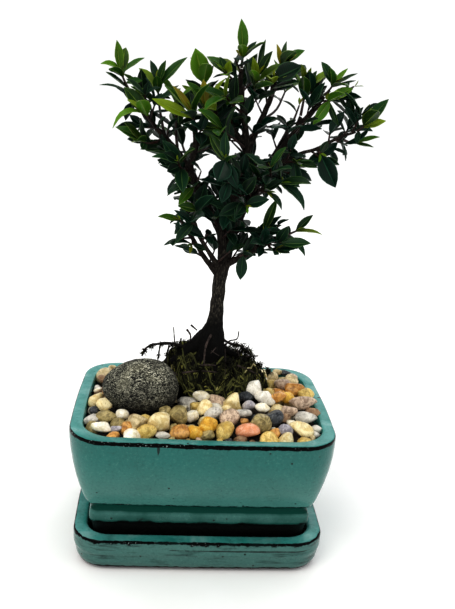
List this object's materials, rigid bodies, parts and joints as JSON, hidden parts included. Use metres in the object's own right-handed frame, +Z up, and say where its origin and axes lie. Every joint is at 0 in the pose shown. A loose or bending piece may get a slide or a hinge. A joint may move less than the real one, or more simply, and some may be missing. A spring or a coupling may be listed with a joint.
{
  "type": "brush cherry bonsai",
  "caption": "Small brush cherry bonsai with glossy opposite leaves in a teal glazed pot on its tray, with a mossy mound, a granite egg and river pebbles.",
  "frame": {"origin": "middle of the tray's flat foot, on the surface that it stands on", "axes": "+Z up along the tree, +X to the right along the pot's longer side, +Y away from the side with the granite egg"},
  "size_m": [0.1763, 0.1368, 0.3121],
  "materials": {
    "teal_glaze": "gloss",
    "potting_soil": "matte",
    "moss": "matte",
    "granite": "matte",
    "river_pebbles": "satin",
    "bark": "matte",
    "leaf": "satin",
    "mesh_plastic": "matte"
  },
  "bodies": {
    "root": {"drain_screen_left": "mesh_plastic", "drain_screen_right": "mesh_plastic", "gravel": "river_pebbles", "moss_mound": "moss", "pot": "teal_glaze", "saucer": "teal_glaze", "soil": "potting_soil", "spray_apex": "leaf", "spray_apex_left": "leaf", "spray_apex_rear": "leaf", "spray_apex_right": "leaf", "spray_arm_inner": "leaf", "spray_arm_leaf": "leaf", "spray_arm_tip": "leaf", "spray_arm_under": "leaf", "spray_back_left_low": "leaf", "spray_back_left_mid": "leaf", "spray_back_left_tip": "leaf", "spray_back_right_mid": "leaf", "spray_back_right_tip": "leaf", "spray_crown_front": "leaf", "spray_crown_middle": "leaf", "spray_crown_rear": "leaf", "spray_dark_fan": "leaf", "spray_fork_tip": "leaf", "spray_front_broad": "leaf", "spray_front_tip": "leaf", "spray_gilt_top": "leaf", "spray_gold_pair": "leaf", "spray_left_arch": "leaf", "spray_left_back": "leaf", "spray_left_crest": "leaf", "spray_left_curl": "leaf", "spray_left_edge": "leaf", "spray_left_front": "leaf", "spray_left_inner": "leaf", "spray_left_low_leaf": "leaf", "spray_left_low_tip": "leaf", "spray_left_rear": "leaf", "spray_left_tip": "leaf", "spray_left_veil": "leaf", "spray_long_arch": "leaf", "spray_low_back": "leaf", "spray_low_hang": "leaf", "spray_low_rear": "leaf", "spray_low_spread": "leaf", "spray_low_tip": "leaf", "spray_low_upright": "leaf", "spray_new_growth": "leaf", "spray_right_drop": "leaf", "spray_right_front": "leaf", "spray_right_hoop": "leaf", "spray_right_rear": "leaf", "spray_right_tip": "leaf", "spray_short_arch": "leaf", "spray_tip_twin": "leaf", "spray_upper_back": "leaf", "spray_upper_rear": "leaf", "stone": "granite", "trunk": "bark"}
  },
  "joints": []
}
